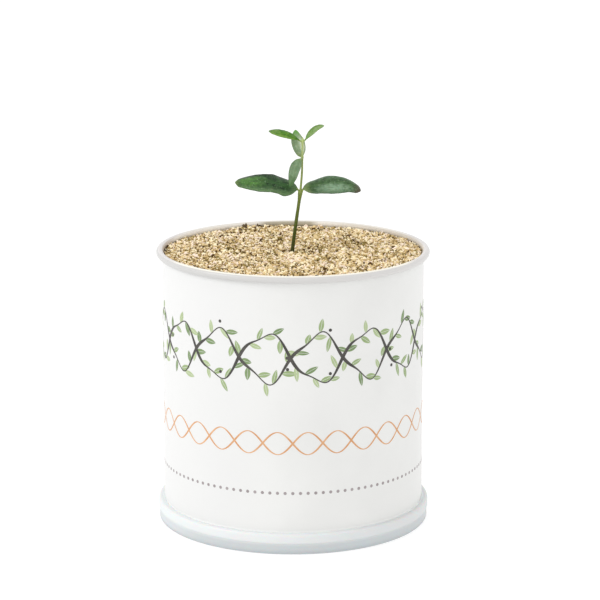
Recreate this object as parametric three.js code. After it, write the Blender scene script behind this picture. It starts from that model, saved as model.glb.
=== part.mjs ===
// A potted olive seedling: a slender leaning stem with three pairs of leaves, in a white metal can
// filled with pale grit. The can stands in its own shallow plastic lid, which serves as a saucer.
// Millimetres, +Z up. The origin is at the centre of the saucer's foot, level with what it stands on, and
// -Y is the front.

import * as THREE from "three";

// Neighbouring pieces lie this far apart.
const CLEARANCE = 0.3;

// The can: a standard size, 99 mm across its wall.
const CAN_RADIUS = 49.5;
const RIM_TOP = 105;
const SHEET = 0.4;
const RIM_ROLL_RADIUS = 1.4;
const RIM_OVERHANG = 2.2;
const SEAM_RADIUS = 50.5;
const SEAM_HEIGHT = 2.6;
const SEAM_WIDTH = 1.4;
const END_PANEL_RAISE = 2;
const ROUND_SEGMENTS = 72;

// The saucer: the can's snap-on lid, turned over, with a thick lip that closes over the can's bottom seam.
const SAUCER_RADIUS = 51.8;
const SAUCER_HEIGHT = 8.3;
const SAUCER_FLOOR = 1;
const SAUCER_FOOT_INNER = 44.5;
const SAUCER_PANEL_RAISE = 0.5;
const SAUCER_WALL = 0.7;
const SAUCER_EDGE_RADIUS = 0.8;
const LIP_HEIGHT = 2.6;
const LIP_INNER_RADIUS = 50.1;
const LIP_OVERHANG = 0.3;

// The grit: nearly full, a little lower on the left, with a small heap round the stem's foot.
const GRIT_LEVEL = 103;
const GRIT_SLOPE = 0.009;
const GRIT_EDGE_DROP = 0.3;
const GRIT_EDGE_SHARPNESS = 8;
const GRIT_HEAP = 0.35;
const GRIT_HEAP_RADIUS = 5;
const GRIT_BUMP = 0.22;
const GRIT_BUMP_LENGTH = 21;
const GRIT_FLAT_RADIUS = 15;
const GRIT_RINGS = 11;
const GRIT_SEGMENTS = 48;

// The stem: its centre line and radius at each named height, from the flat cut at grit level to the bud.
const STEM = [
  { x: -0.25, z: 103.6, radius: 0.68 },
  { x: -0.1, z: 104.8, radius: 0.6 },
  { x: 1.15, z: 114.5, radius: 0.56 },
  { x: 2.45, z: 123.6, radius: 0.53 },
  { x: 2.6, z: 125, radius: 0.57 },
  { x: 2.78, z: 126.3, radius: 0.37 },
  { x: 3.38, z: 133.7, radius: 0.33 },
  { x: 3.5, z: 138.6, radius: 0.31 },
  { x: 3.5, z: 139.3, radius: 0.42 },
  { x: 3.52, z: 140.2, radius: 0.33 },
  { x: 3.6, z: 144.8, radius: 0.32 },
  { x: 3.62, z: 145.5, radius: 0.42 },
  { x: 3.65, z: 146.3, radius: 0.26 },
  { x: 3.68, z: 147, radius: 0.08 },
];
const STEM_SIDES = 12;
const STEM_STEPS = 36;

// The leaves, in three crossed pairs. Each midrib runs from just clear of the stem to the leaf's tip, and
// its first part is the stalk. "face" is the way the upper side looks at the base and at the tip. The two
// halves of the blade, left and right of the midrib seen from above with the tip ahead, have their own
// half widths, one for each of the shares of its length below. "cup" bends both margins down, in degrees,
// and "wave" lifts and lowers them along the leaf.
const LEAVES = [
  {
    name: "leaf_lower_left",
    midrib: [
      [1.65, 0, 125.8], [1.6, -0.1, 127], [-1, -0.4, 128.2], [-8, -0.9, 129.8],
      [-15.5, -0.9, 130.4], [-21.8, -0.5, 129.8],
    ],
    face: [[0, -0.68, 0.73], [0, -0.64, 0.77]],
    left: [2.2, 3.5, 4.3, 3.9, 4.1, 4.6, 4.7, 4, 3.2, 2.3, 1.7],
    right: [1.9, 3.1, 4.4, 4.9, 5.3, 4.6, 4.2, 4.1, 3.7, 2.9, 1.8],
    cup: 34,
    wave: { height: 0.8, turns: 1.35, phase: 3.27 },
    stalk: 0.06,
    color: 0x3f7a3a,
  },
  {
    name: "leaf_lower_right",
    midrib: [
      [3.75, 0, 125.8], [3.95, -0.1, 126.9], [6.4, -0.4, 128.1], [13, -0.8, 129.5],
      [20, -0.6, 129.2], [23.6, -0.4, 127.9], [25.2, -0.3, 126.5],
    ],
    face: [[0, -0.66, 0.75], [0.2, -0.56, 0.8]],
    left: [2.4, 3.1, 3.5, 4.3, 4.9, 4.8, 4.4, 4.1, 3.5, 2.7, 1.8],
    right: [2, 3, 3.5, 3.8, 4.3, 4.7, 4.6, 4.1, 3.2, 2.5, 1.9],
    cup: 30,
    wave: { height: 0.4, turns: 1.1, phase: 3.68 },
    stalk: 0.06,
    color: 0x477c46,
  },
  {
    name: "leaf_middle_front",
    midrib: [
      [3.35, -1, 139.2], [2.4, -2.2, 138.9], [1.2, -3.6, 137.3], [0, -5.2, 134],
      [-0.65, -6.2, 131.1], [-1.05, -6.6, 129.4],
    ],
    face: [[-0.1, -0.45, 0.9], [-0.35, -0.95, 0.2]],
    left: [0.6, 1.1, 1.6, 1.8, 1.9, 1.9, 1.9, 1.7, 1.4, 1, 0.6],
    right: [0.8, 1.3, 1.8, 2, 2.1, 2.1, 2, 1.7, 1.4, 0.9, 0.5],
    cup: 30,
    wave: { height: 0.1, turns: 1, phase: 0 },
    stalk: 0.08,
    color: 0x6f9a74,
  },
  {
    name: "leaf_middle_back",
    midrib: [
      [3.4, 1, 139.6], [2.8, 1.9, 141.8], [2, 2.7, 144.3], [1.3, 3.3, 146.8], [0.95, 3.6, 149.2],
    ],
    face: [[0, -0.7, 0.7], [0, -0.95, 0.3]],
    left: [1.1, 1.8, 2.3, 2.5, 2.6, 2.6, 2.5, 2.2, 1.8, 1.2, 0.7],
    right: [1.1, 1.8, 2.2, 2.4, 2.5, 2.5, 2.4, 2.1, 1.7, 1.1, 0.6],
    cup: -24,
    wave: { height: 0.1, turns: 1, phase: 0 },
    stalk: 0.08,
    color: 0x8fae92,
  },
  {
    name: "leaf_top_left",
    midrib: [
      [2.8, -0.1, 145.6], [1.6, -0.5, 146.4], [-2, -1.1, 148.1], [-5.8, -1.3, 149.2], [-9.1, -1.1, 149.5],
    ],
    face: [[0.2, -0.6, 0.78], [0, -0.55, 0.84]],
    left: [0.5, 0.9, 1.3, 1.6, 1.8, 1.9, 1.9, 1.8, 1.5, 1.1, 0.6],
    right: [0.6, 1, 1.5, 1.9, 2, 2.1, 2, 1.9, 1.5, 1, 0.6],
    cup: 20,
    wave: { height: 0.08, turns: 1, phase: 0 },
    stalk: 0.08,
    color: 0x58a83a,
  },
  {
    name: "leaf_top_right",
    midrib: [
      [4.4, 0, 145.8], [5, -0.1, 146.6], [7, -0.3, 148.6], [9.2, -0.3, 150.5], [11.7, -0.2, 151.5],
    ],
    face: [[-0.68, -0.36, 0.6], [-0.45, -0.46, 0.8]],
    left: [0.7, 1.2, 1.7, 2, 2.1, 2.1, 2, 1.7, 1.4, 0.9, 0.5],
    right: [0.7, 1.1, 1.5, 1.8, 1.9, 1.9, 1.8, 1.6, 1.3, 0.9, 0.5],
    cup: -18,
    wave: { height: 0.08, turns: 1, phase: 0 },
    stalk: 0.08,
    color: 0x8abf4e,
  },
];
const WIDTH_SHARES = [0.04, 0.1, 0.2, 0.3, 0.4, 0.5, 0.6, 0.7, 0.8, 0.9, 0.96];
const LEAF_THICKNESS = 0.42;
const MARGIN_THICKNESS = 0.26;
const STALK_WIDTH = 0.62;
const TIP_WIDTH = 0.3;
const LEAF_STEPS = 20;
const LEAF_ACROSS = 4;

const can = new THREE.Group();
const plant = new THREE.Group();

function material(color, roughness, metalness = 0) {
  return new THREE.MeshStandardMaterial({ color, roughness, metalness });
}

function addMesh(group, name, geometry, look) {
  const mesh = new THREE.Mesh(geometry, look);
  mesh.name = name;
  group.add(mesh);
}

// A solid of revolution about Z from a list of [radius, height] pairs.
function turned(profile, segments = ROUND_SEGMENTS) {
  const points = profile.map(([r, z]) => new THREE.Vector2(r, z));
  return new THREE.LatheGeometry(points, segments).rotateX(Math.PI / 2);
}

// Points of an arc in the profile plane, from one angle to the other, in degrees.
function arc(r, z, radius, from, to, steps) {
  return Array.from({ length: steps + 1 }, (_, i) => {
    const a = THREE.MathUtils.degToRad(from + ((to - from) * i) / steps);
    return [r + radius * Math.cos(a), z + radius * Math.sin(a)];
  });
}

// The saucer stands on a flat ring round a panel that is raised a little. Its wall ends in a rounded lip that
// reaches in over the can's seam.
function saucer() {
  const wallOuter = SAUCER_RADIUS - LIP_OVERHANG;
  const wallInner = wallOuter - SAUCER_WALL;
  const lipBottom = SAUCER_HEIGHT - LIP_HEIGHT;
  const lipRadius = (SAUCER_RADIUS - LIP_INNER_RADIUS) / 2;
  const lipCentre = SAUCER_RADIUS - lipRadius;
  return turned([
    [0, SAUCER_PANEL_RAISE],
    [SAUCER_FOOT_INNER - SAUCER_PANEL_RAISE, SAUCER_PANEL_RAISE],
    [SAUCER_FOOT_INNER, 0],
    ...arc(wallOuter - SAUCER_EDGE_RADIUS, SAUCER_EDGE_RADIUS, SAUCER_EDGE_RADIUS, -90, 0, 3),
    [wallOuter, lipBottom],
    [SAUCER_RADIUS, lipBottom + LIP_OVERHANG],
    ...arc(lipCentre, SAUCER_HEIGHT - lipRadius, lipRadius, 0, 180, 6),
    [LIP_INNER_RADIUS, lipBottom + lipRadius],
    [wallInner, lipBottom],
    [wallInner, SAUCER_FLOOR],
    [SAUCER_FOOT_INNER + SAUCER_PANEL_RAISE, SAUCER_FLOOR],
    [SAUCER_FOOT_INNER, SAUCER_FLOOR + SAUCER_PANEL_RAISE],
    [0, SAUCER_FLOOR + SAUCER_PANEL_RAISE],
  ]);
}

const seamBottom = SAUCER_FLOOR + CLEARANCE;
const seamTop = seamBottom + SEAM_HEIGHT;
const panelTop = seamBottom + END_PANEL_RAISE + SHEET;

// The can's bottom end: a flat panel raised inside the rolled seam that the can stands on.
function canEnd() {
  const seamInner = SEAM_RADIUS - SEAM_WIDTH;
  const corner = SEAM_WIDTH / 2;
  return turned([
    [0, seamBottom + END_PANEL_RAISE],
    [seamInner, seamBottom + END_PANEL_RAISE],
    ...arc(SEAM_RADIUS - corner, seamBottom + corner, corner, 180, 360, 4),
    [SEAM_RADIUS, seamTop],
    [seamInner, seamTop],
    [seamInner, panelTop],
    [0, panelTop],
  ]);
}

// The can's wall, one sheet from the bottom seam to the rim, where it is rolled outwards into a round bead.
function canWall() {
  const inner = CAN_RADIUS - SHEET;
  const rollCentre = CAN_RADIUS + RIM_OVERHANG - RIM_ROLL_RADIUS;
  const rollHeight = RIM_TOP - RIM_ROLL_RADIUS;
  const outerMeets = -THREE.MathUtils.radToDeg(Math.acos((CAN_RADIUS - rollCentre) / RIM_ROLL_RADIUS));
  const innerMeets = 360 - THREE.MathUtils.radToDeg(Math.acos((inner - rollCentre) / RIM_ROLL_RADIUS));
  const foot = seamTop + CLEARANCE;
  return turned([
    [inner, foot],
    [CAN_RADIUS, foot],
    ...arc(rollCentre, rollHeight, RIM_ROLL_RADIUS, outerMeets, innerMeets, 12),
    [inner, foot],
  ]);
}

// Height of the grit's surface: level, with a slope, a dip along the wall, a heap at the stem and low bumps
// that fade out towards the stem.
function gritHeight(x, y) {
  const out = Math.hypot(x, y) / CAN_RADIUS;
  const fromStem = Math.hypot(x - STEM[0].x, y);
  const turn = (2 * Math.PI) / GRIT_BUMP_LENGTH;
  const bumps = Math.sin(x * turn + 1) * Math.cos(y * turn) + Math.sin(((x - y) * turn) / 2 + 2);
  return (
    GRIT_LEVEL +
    GRIT_SLOPE * x -
    GRIT_EDGE_DROP * out ** GRIT_EDGE_SHARPNESS +
    GRIT_HEAP * Math.exp(-((fromStem / GRIT_HEAP_RADIUS) ** 2)) +
    GRIT_BUMP * bumps * Math.min(1, fromStem / GRIT_FLAT_RADIUS)
  );
}

// The grit fills the can from its bottom panel up, clear of the wall and of the rolled rim.
function grit() {
  const radius = CAN_RADIUS + RIM_OVERHANG - 2 * RIM_ROLL_RADIUS - CLEARANCE;
  const bottom = panelTop + CLEARANCE;
  const rings = Array.from({ length: GRIT_RINGS }, (_, i) => [radius * (1 - i / GRIT_RINGS), GRIT_LEVEL]);
  const geometry = turned([[0, bottom], [radius, bottom], ...rings, [0, GRIT_LEVEL]], GRIT_SEGMENTS);
  const place = geometry.attributes.position;
  for (let i = 0; i < place.count; i++) {
    if (place.getZ(i) > GRIT_LEVEL / 2) place.setZ(i, gritHeight(place.getX(i), place.getY(i)));
  }
  return geometry;
}

// The stem is turned from its radius at each height, and each ring is then moved to the leaning centre line.
function stem() {
  const line = new THREE.CatmullRomCurve3(STEM.map((s) => new THREE.Vector3(s.x, s.radius, s.z)));
  const points = line.getPoints(STEM_STEPS);
  const rings = points.map((p) => ({ x: p.x, radius: p.y, z: p.z }));
  rings.unshift({ ...rings[0], radius: 0 });
  rings.push({ ...rings[rings.length - 1], radius: 0 });
  const geometry = turned(rings.map((ring) => [ring.radius, ring.z]), STEM_SIDES);
  const place = geometry.attributes.position;
  for (let i = 0; i < place.count; i++) {
    place.setX(i, place.getX(i) + rings[i % rings.length].x);
  }
  return geometry;
}

// Half width of a blade, along a smooth line from 0 at its base through its half widths to 0 at its tip.
function halfWidth(widths, t) {
  const shares = [0, ...WIDTH_SHARES, 1];
  const halves = [0, ...widths, 0];
  const i = Math.max(1, shares.findIndex((share) => share >= t));
  const slope = (k) => {
    const before = Math.max(0, k - 1);
    const after = Math.min(shares.length - 1, k + 1);
    return (halves[after] - halves[before]) / (shares[after] - shares[before]);
  };
  const span = shares[i] - shares[i - 1];
  const u = (t - shares[i - 1]) / span;
  const start = halves[i - 1] * (1 + 2 * u) + slope(i - 1) * span * u;
  const end = halves[i] * (3 - 2 * u) - slope(i) * span * (1 - u);
  return start * (1 - u) ** 2 + end * u ** 2;
}

// A leaf is a flat box whose points are laid across its midrib: a narrow thick stalk, then the blade.
function leaf({ midrib, face, left, right, cup, wave, stalk }) {
  const line = new THREE.CatmullRomCurve3(midrib.map((p) => new THREE.Vector3(...p)));
  const [faceBase, faceTip] = face.map((f) => new THREE.Vector3(...f));
  const geometry = new THREE.BoxGeometry(2, 1, 2, LEAF_ACROSS, LEAF_STEPS, 1);
  const place = geometry.attributes.position;
  const bend = THREE.MathUtils.degToRad(cup);
  for (let i = 0; i < place.count; i++) {
    const across = place.getX(i);
    const along = place.getY(i) + 0.5;
    const skin = place.getZ(i);
    const ahead = line.getTangentAt(along);
    const facing = faceBase.clone().lerp(faceTip, along);
    const side = new THREE.Vector3().crossVectors(ahead, facing).normalize();
    const up = new THREE.Vector3().crossVectors(side, ahead);
    const t = Math.max(0, (along - stalk) / (1 - stalk));
    const narrowest = THREE.MathUtils.lerp(STALK_WIDTH, TIP_WIDTH, along) / 2;
    const half = Math.max(narrowest, halfWidth(across > 0 ? right : left, t));
    const angle = bend * across;
    const lift = Math.sin(2 * Math.PI * wave.turns * t + wave.phase) * Math.sin(Math.PI * t);
    const ripple = wave.height * lift * across ** 2;
    const thickness = THREE.MathUtils.lerp(LEAF_THICKNESS, MARGIN_THICKNESS, Math.abs(across)) / 2;
    const out = half * (bend ? Math.sin(angle) / bend : across);
    const drop = half * (bend ? (1 - Math.cos(angle)) / bend : 0);
    const point = line.getPointAt(along);
    point.addScaledVector(side, out + skin * thickness * Math.sin(angle));
    point.addScaledVector(up, ripple - drop + skin * thickness * Math.cos(angle));
    place.setXYZ(i, point.x, point.y, point.z);
  }
  return geometry;
}

const paint = material(0xf4f4f2, 0.35, 0.1);
addMesh(can, "saucer", saucer(), material(0xe4e8ea, 0.5));
addMesh(can, "can_end", canEnd(), paint);
addMesh(can, "can_wall", canWall(), paint);
addMesh(can, "grit", grit(), material(0xd9c096, 0.95));

addMesh(plant, "stem", stem(), material(0x6f8f3a, 0.6));
for (const one of LEAVES) addMesh(plant, one.name, leaf(one), material(one.color, 0.5));

const group = new THREE.Group();
group.add(can, plant);
export default group;
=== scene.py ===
# %% [markdown]
# # A potted olive seedling
# An olive a few months old stands in a white enamelled can that is filled with pale grit. The can stands in
# its own plastic lid, turned over to serve as a saucer. The frame gives the true size and place of each
# solid. This lesson gives them their real surfaces, in the order in which such a pot is put together: saucer,
# can, print, grit, stem and leaves, and then the light and the camera.

# %% The frame
import math
from contextlib import contextmanager
from functools import partial

import bmesh
import bpy
import numpy as np
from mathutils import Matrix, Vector


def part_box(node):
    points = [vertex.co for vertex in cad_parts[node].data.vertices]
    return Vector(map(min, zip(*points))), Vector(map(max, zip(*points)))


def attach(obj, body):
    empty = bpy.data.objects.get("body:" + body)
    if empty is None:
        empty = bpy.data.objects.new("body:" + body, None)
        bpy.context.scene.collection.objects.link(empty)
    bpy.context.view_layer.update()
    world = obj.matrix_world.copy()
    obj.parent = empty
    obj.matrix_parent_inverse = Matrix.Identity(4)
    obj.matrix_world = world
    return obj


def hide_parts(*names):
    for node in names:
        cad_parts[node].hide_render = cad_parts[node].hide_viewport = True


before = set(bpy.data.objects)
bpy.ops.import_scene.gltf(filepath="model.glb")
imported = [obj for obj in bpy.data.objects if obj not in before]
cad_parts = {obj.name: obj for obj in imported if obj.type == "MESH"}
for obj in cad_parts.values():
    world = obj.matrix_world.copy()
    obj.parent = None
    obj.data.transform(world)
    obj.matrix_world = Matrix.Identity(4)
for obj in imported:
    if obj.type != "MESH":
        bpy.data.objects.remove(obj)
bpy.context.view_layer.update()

MM = 0.001
BODY = "root"
print("solids:", ", ".join(sorted(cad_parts)))

# %% [markdown]
# ## Helpers for working by hand
# An operator acts on all that is selected, so each step first selects one piece alone. A piece is started
# from a primitive, shaped in edit mode and finished with modifiers. Its place is written into its mesh, so
# that its object stays at the origin, as the frame's own solids do.

# %% Select, start, edit, finish and hand over a piece
SHARP = math.radians(38)
DOUBLE = 0.004 * MM
FACES_UP = 0.5


def only(piece):
    """Selects one object alone."""
    bpy.ops.object.select_all(action="DESELECT")
    piece.select_set(True)
    bpy.context.view_layer.objects.active = piece
    return piece


def started(name):
    """Names the new primitive and writes its place into its mesh."""
    piece = only(bpy.context.object)
    piece.name = name
    piece.data.name = name
    bpy.ops.object.transform_apply(location=True, rotation=True, scale=True)
    return piece


@contextmanager
def editing(piece, mode="VERT"):
    """Edit mode on one piece, with everything selected."""
    only(piece)
    bpy.ops.object.mode_set(mode="EDIT")
    bpy.ops.mesh.select_mode(type=mode)
    bpy.ops.mesh.select_all(action="SELECT")
    yield
    bpy.ops.object.mode_set(mode="OBJECT")


def choose_top(piece):
    """In edit mode, selects only the faces that look up."""
    mesh = bmesh.from_edit_mesh(piece.data)
    for face in mesh.faces:
        face.select_set(face.normal.z > FACES_UP)
    bmesh.update_edit_mesh(piece.data)


def clean():
    """In edit mode, merges doubled points and turns every face outwards."""
    bpy.ops.mesh.select_all(action="SELECT")
    bpy.ops.mesh.remove_doubles(threshold=DOUBLE)
    bpy.ops.mesh.normals_make_consistent(inside=False)


def finished(piece, *modifiers):
    """Applies modifiers, each given as its kind and its settings."""
    only(piece)
    for kind, settings in modifiers:
        modifier = piece.modifiers.new(kind.title(), kind)
        for name, value in settings.items():
            setattr(modifier, name, value)
        bpy.ops.object.modifier_apply(modifier=modifier.name)
    bpy.ops.object.shade_smooth_by_angle(angle=SHARP)
    return piece


def joined(piece, other):
    """Joins another piece into this one."""
    only(piece)
    other.select_set(True)
    bpy.ops.object.join()
    return finished(piece)


def handed_over(piece, *nodes, slot=None, material=None):
    """The piece rides on the one body and stands for these solids."""
    if material:
        piece.data.materials.append(material)
    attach(piece, BODY)
    if nodes:
        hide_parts(*nodes)
    print(piece.name, "has", len(piece.data.polygons), "faces")
    return piece


# %% A mesh from arrays, for many small things that are joined
def from_arrays(name, points, faces, material):
    """A mesh from points in metres and faces."""
    mesh = bpy.data.meshes.new(name)
    mesh.from_pydata(points.tolist(), [], [list(face) for face in faces])
    mesh.materials.append(material)
    mesh.validate()
    piece = bpy.data.objects.new(name, mesh)
    bpy.context.scene.collection.objects.link(piece)
    return piece


# %% [markdown]
# ## Helpers for materials
# Colours are given as they look on a screen, from 0 to 255, and turned into the linear values that shaders
# need. Each pattern is a short chain of nodes on Object coordinates, which are metres in the frame, or on
# the UV map of a leaf. A picture could be painted for each surface, but a chain stays sharp at any distance
# and has no seam. A socket knows its own node tree, so each step needs only the sockets it works on.

# %% Colours and node chains
MIX_SHARE, MIX_FIRST, MIX_SECOND, MIX_RESULT = 0, 6, 7, 2


def linear(tone):
    """The linear colour for screen values. A socket stays as it is."""
    if isinstance(tone, bpy.types.NodeSocket):
        return tone
    shares = [value / 255 for value in tone]
    return *(s / 12.92 if s <= 0.04045 else ((s + 0.055) / 1.055) ** 2.4 for s in shares), 1.0


def new_material(name, **shader):
    """A material, its Principled shader and the point's place in the frame."""
    material = bpy.data.materials.new(name)
    material.use_nodes = True
    nodes = material.node_tree.nodes
    principled = nodes["Principled BSDF"]
    for socket, value in shader.items():
        principled.inputs[socket.replace("_", " ")].default_value = value
    return material, principled, nodes.new("ShaderNodeTexCoord").outputs["Object"]


def add_node(tree, kind, inputs, **settings):
    """A node whose inputs are set to values or linked to other nodes."""
    node = tree.nodes.new(kind)
    for name, value in settings.items():
        setattr(node, name, value)
    for key, value in inputs.items():
        if isinstance(value, bpy.types.NodeSocket):
            tree.links.new(value, node.inputs[key])
        else:
            node.inputs[key].default_value = value
    return node


def split(vector):
    return add_node(vector.id_data, "ShaderNodeSeparateXYZ", {0: vector}).outputs


def sums(operation, first, second=0.0):
    return add_node(first.id_data, "ShaderNodeMath", {0: first, 1: second}, operation=operation).outputs[0]


plus = partial(sums, "ADD")
minus = partial(sums, "SUBTRACT")
times = partial(sums, "MULTIPLY")
over = partial(sums, "DIVIDE")
unsigned = partial(sums, "ABSOLUTE")


def in_millimetres(place):
    return [over(part, MM) for part in split(place)]


def from_axis(x, y):
    return sums("SQRT", plus(times(x, x), times(y, y)))


def eased(value, start, end, kind="SMOOTHSTEP"):
    """0 before start and 1 after end, smooth between them or LINEAR."""
    inputs = {"Value": value, "From Min": start, "From Max": end}
    return add_node(value.id_data, "ShaderNodeMapRange", inputs, interpolation_type=kind).outputs[0]


def mixed(share, first, second):
    """The first colour where share is 0 and the second where it is 1."""
    inputs = {MIX_SHARE: share, MIX_FIRST: linear(first), MIX_SECOND: linear(second)}
    return add_node(share.id_data, "ShaderNodeMix", inputs, data_type="RGBA").outputs[MIX_RESULT]


def layered(shade, *layers):
    """Lays colours over a first one. Each has a value, where it begins, where it is full, and its amount."""
    for tone, value, start, end, *amount in layers:
        share = eased(value, start, end)
        shade = mixed(times(share, *amount) if amount else share, shade, tone)
    return shade


def noise(vector, per_metre, detail=3.0, stretch=(1, 1, 1)):
    """Cloudy noise of so many lumps in a metre, stretched along each axis."""
    tree = vector.id_data
    place = add_node(tree, "ShaderNodeMapping", {"Vector": vector, "Scale": stretch}).outputs[0]
    inputs = {"Vector": place, "Scale": per_metre, "Detail": detail}
    return add_node(tree, "ShaderNodeTexNoise", inputs).outputs[0]


def dressed(shader, shade, height=None, depth=0.0, strength=1.0):
    """Gives the shader its colour and, from a height, a relief in millimetres."""
    tree = shader.id_data
    tree.links.new(shade, shader.inputs["Base Color"])
    if height is not None:
        inputs = {"Height": height, "Distance": depth * MM, "Strength": strength}
        tree.links.new(add_node(tree, "ShaderNodeBump", inputs).outputs[0], shader.inputs["Normal"])


# %% [markdown]
# ## The saucer
# The saucer is the can's own snap lid in soft white plastic. It could be cut from a cylinder, but a moulded
# round thing is truest when its section is drawn once and spun. A plane is merged to a single point, the
# point is extruded along the section, and the section is spun round the Z axis. A narrow bevel then rounds
# the corners, as a mould does.

# %% Spin a section of (radius, height) points
SPIN_STEPS = 192


def arc(radius, height, bend, start, end, steps):
    """Points of an arc in the section, between two angles in degrees."""
    angles = np.radians(np.linspace(start, end, steps + 1))
    return [(radius + bend * math.cos(a), height + bend * math.sin(a)) for a in angles]


def spun(name, section):
    """Draws a section, in millimetres, point by point and spins it round the Z axis."""
    radius, height = section[0]
    bpy.ops.mesh.primitive_plane_add(size=MM, location=(radius * MM, 0, height * MM))
    piece = started(name)
    with editing(piece):
        bpy.ops.mesh.merge(type="CENTER")
        for (r0, z0), (r1, z1) in zip(section, section[1:]):
            step = ((r1 - r0) * MM, 0, (z1 - z0) * MM)
            bpy.ops.mesh.extrude_region_move(TRANSFORM_OT_translate={"value": step})
        bpy.ops.mesh.select_all(action="SELECT")
        bpy.ops.mesh.spin(steps=SPIN_STEPS, angle=math.tau, center=(0, 0, 0), axis=(0, 0, 1))
        clean()
    return piece


# %% The saucer's sizes, in millimetres
SAUCER_RADIUS = 51.8
SAUCER_HEIGHT = 7.9
SAUCER_FLOOR = 1.0
FOOT_INNER = 44.5
PANEL_RAISE = 0.5
SAUCER_WALL = 0.7
EDGE_RADIUS = 0.8
LIP_HEIGHT = 3.8
LIP_INNER = 49.53
LIP_INNER_BEND = 0.08
LIP_OVERHANG = 0.3
EDGE_STEPS = 6
LIP_STEPS = 8
LIP_EDGE_STEPS = 4
MOULD_ROUNDING = 0.14
CORNER = math.radians(30)


def saucer_section():
    """From the centre of the underside outwards, up round the lip and back along the floor."""
    outer = SAUCER_RADIUS - LIP_OVERHANG
    inner = outer - SAUCER_WALL
    lip_bottom = SAUCER_HEIGHT - LIP_HEIGHT
    bend = (SAUCER_RADIUS - LIP_INNER) / 2
    edge = LIP_INNER_BEND
    return [
        (0, PANEL_RAISE),
        (FOOT_INNER - PANEL_RAISE, PANEL_RAISE),
        (FOOT_INNER, 0),
        *arc(outer - EDGE_RADIUS, EDGE_RADIUS, EDGE_RADIUS, -90, 0, EDGE_STEPS),
        (outer, lip_bottom),
        (SAUCER_RADIUS, lip_bottom + LIP_OVERHANG),
        *arc(SAUCER_RADIUS - bend, SAUCER_HEIGHT - bend, bend, 0, 90, LIP_STEPS),
        *arc(LIP_INNER + edge, SAUCER_HEIGHT - edge, edge, 90, 180, LIP_EDGE_STEPS),
        (LIP_INNER, lip_bottom + bend),
        (inner, lip_bottom),
        (inner, SAUCER_FLOOR),
        (FOOT_INNER + PANEL_RAISE, SAUCER_FLOOR),
        (FOOT_INNER, SAUCER_FLOOR + PANEL_RAISE),
        (0, SAUCER_FLOOR + PANEL_RAISE),
    ]


print("saucer section:", len(saucer_section()), "points")
saucer = spun("saucer_shell", saucer_section())
finished(saucer, ("BEVEL", {"width": MOULD_ROUNDING * MM, "segments": 2, "angle_limit": CORNER}))

# %% [markdown]
# The lid's thin wall looks bluish grey against the light, and its thick lip looks white, most of all along
# the
# can. Light that passes under the surface gives only a part of this, so the rest is painted light and shade:
# the upward lip is painted lighter and the upright wall greyer, the foot darker as painted shade, the lip's
# white edge along the can lighter still as painted light where the joint would be shaded, and the left side,
# which faces the lamp, a little lighter. In this material and the next ones, a layer's numbers are places in
# millimetres: where its colour begins and where it is full.

# %% Soft white plastic
LIP_LIT_LEFT = (221, 224, 224)
LIP_RIGHT = (211, 214, 214)
LIP_EDGE_WHITE_AND_PAINTED_LIGHT = (238, 241, 241)
WALL_LIT_LEFT = (201, 206, 208)
WALL_GREY = (192, 197, 199)
FOOT_PAINTED_SHADE = (175, 181, 184)
PLASTIC_CLOUDS = 60
PLASTIC_CLOUDINESS = 0.12
PLASTIC_GRAIN = 900
PLASTIC_GRAIN_DEPTH = 0.01


def saucer_plastic():
    material, shader, place = new_material(
        "soft_white_plastic", Roughness=0.42, Subsurface_Weight=0.25, Subsurface_Scale=1.5 * MM, IOR=1.5
    )
    x, y, height = in_millimetres(place)
    # Painted light: the upright wall is lighter on the left, which faces the lamp.
    upright = layered(WALL_GREY, (WALL_LIT_LEFT, x, -30, -46))
    # Lip: lighter at the left as painted light; along the can, its white edge brightened as painted light.
    white = layered(LIP_LIT_LEFT, (LIP_RIGHT, x, -10, 45), (LIP_EDGE_WHITE_AND_PAINTED_LIGHT, from_axis(x, y), 50.2, 49.6))
    # Painted shade darkens the foot; the lip above is painted lighter than the upright wall.
    lip = layered(FOOT_PAINTED_SHADE, (upright, height, 0.1, 2.2), (white, height, 2.9, 5.1))
    cloud = times(noise(place, PLASTIC_CLOUDS, detail=2), PLASTIC_CLOUDINESS)
    dressed(shader, mixed(cloud, lip, WALL_GREY), noise(place, PLASTIC_GRAIN), PLASTIC_GRAIN_DEPTH)
    return material


handed_over(saucer, "saucer", slot="saucer_plastic", material=saucer_plastic())

# %% [markdown]
# ## The can
# The wall is one enamelled sheet whose top is rolled outwards into a bead. It is spun from its section like
# the saucer. A can of this kind is rolled from a flat sheet, so a narrow lapped seam runs up its back. The
# seam is a cube, bevelled along its length and joined to the wall.

# %% The can's sizes, in millimetres
CAN_RADIUS = 49.5
RIM_TOP = 105.0
SHEET = 0.4
BEAD_RADIUS = 1.4
BEAD_STEPS = 30
RIM_OVERHANG = 2.2
WALL_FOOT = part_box("can_wall")[0].z / MM
SEAM_WIDTH = 2.4
SEAM_RAISE = 0.12
SEAM_BEVEL = 0.8
SEAM_CLEAR = 1.0

bead_centre = CAN_RADIUS + RIM_OVERHANG - BEAD_RADIUS
bead_height = RIM_TOP - BEAD_RADIUS


def wall_section():
    """Up the outside, round the bead and down the inside."""
    inner = CAN_RADIUS - SHEET
    meets_outside = -math.degrees(math.acos((CAN_RADIUS - bead_centre) / BEAD_RADIUS))
    meets_inside = 360 - math.degrees(math.acos((inner - bead_centre) / BEAD_RADIUS))
    return [
        (inner, WALL_FOOT),
        (CAN_RADIUS, WALL_FOOT),
        *arc(bead_centre, bead_height, BEAD_RADIUS, meets_outside, meets_inside, BEAD_STEPS),
        (inner, WALL_FOOT),
    ]


print("wall section:", len(wall_section()), "points")
can = spun("can_shell", wall_section())

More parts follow.
